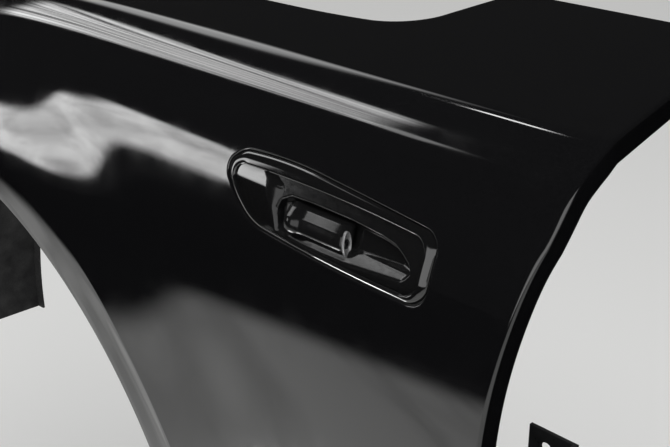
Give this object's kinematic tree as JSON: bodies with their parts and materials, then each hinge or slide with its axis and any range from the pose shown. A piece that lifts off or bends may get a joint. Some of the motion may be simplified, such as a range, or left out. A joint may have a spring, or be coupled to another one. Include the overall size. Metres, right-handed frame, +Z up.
{
  "type": "car front wing with side camera",
  "caption": "Left front wing of a saloon car: shoulder crease, swelling wheel arch with a flat lip, flush side camera unit, arch liner and bolt-on brackets.",
  "frame": {"origin": "middle of the two bolt holes of the middle rail bracket, on the bracket's seating face", "axes": "+X towards the car's rear, +Y towards the car's middle, +Z up; the painted side faces -Y"},
  "size_m": [1.0942, 0.2879, 0.7114],
  "materials": {
    "body_paint": "gloss black with clear coat",
    "unit_gloss": "gloss black moulding",
    "unit_satin": "satin black moulding",
    "lens_metal": "dark anodised",
    "lens_glass": "coated glass",
    "seal_rubber": "soft black rubber",
    "bracket_steel": "black dip coat",
    "liner_plastic": "grained black moulding",
    "foam": "open dark grey foam"
  },
  "bodies": {
    "root": {"wing_panel": "body_paint", "camera_bezel": "unit_gloss", "camera_dish": "unit_gloss", "camera_pod": "unit_gloss", "bezel_gasket": "seal_rubber", "lens_ring": "lens_metal", "lens_barrel": "unit_satin", "lens_glass": "lens_glass", "camera_case": "unit_satin", "arch_liner": "liner_plastic", "rail_bracket_front": "bracket_steel", "rail_bracket_middle": "bracket_steel", "rail_bracket_rear": "bracket_steel", "pillar_bracket": "bracket_steel", "sill_bracket": "bracket_steel", "bumper_guide": "liner_plastic", "foam_baffle": "foam"}
  },
  "joints": []
}
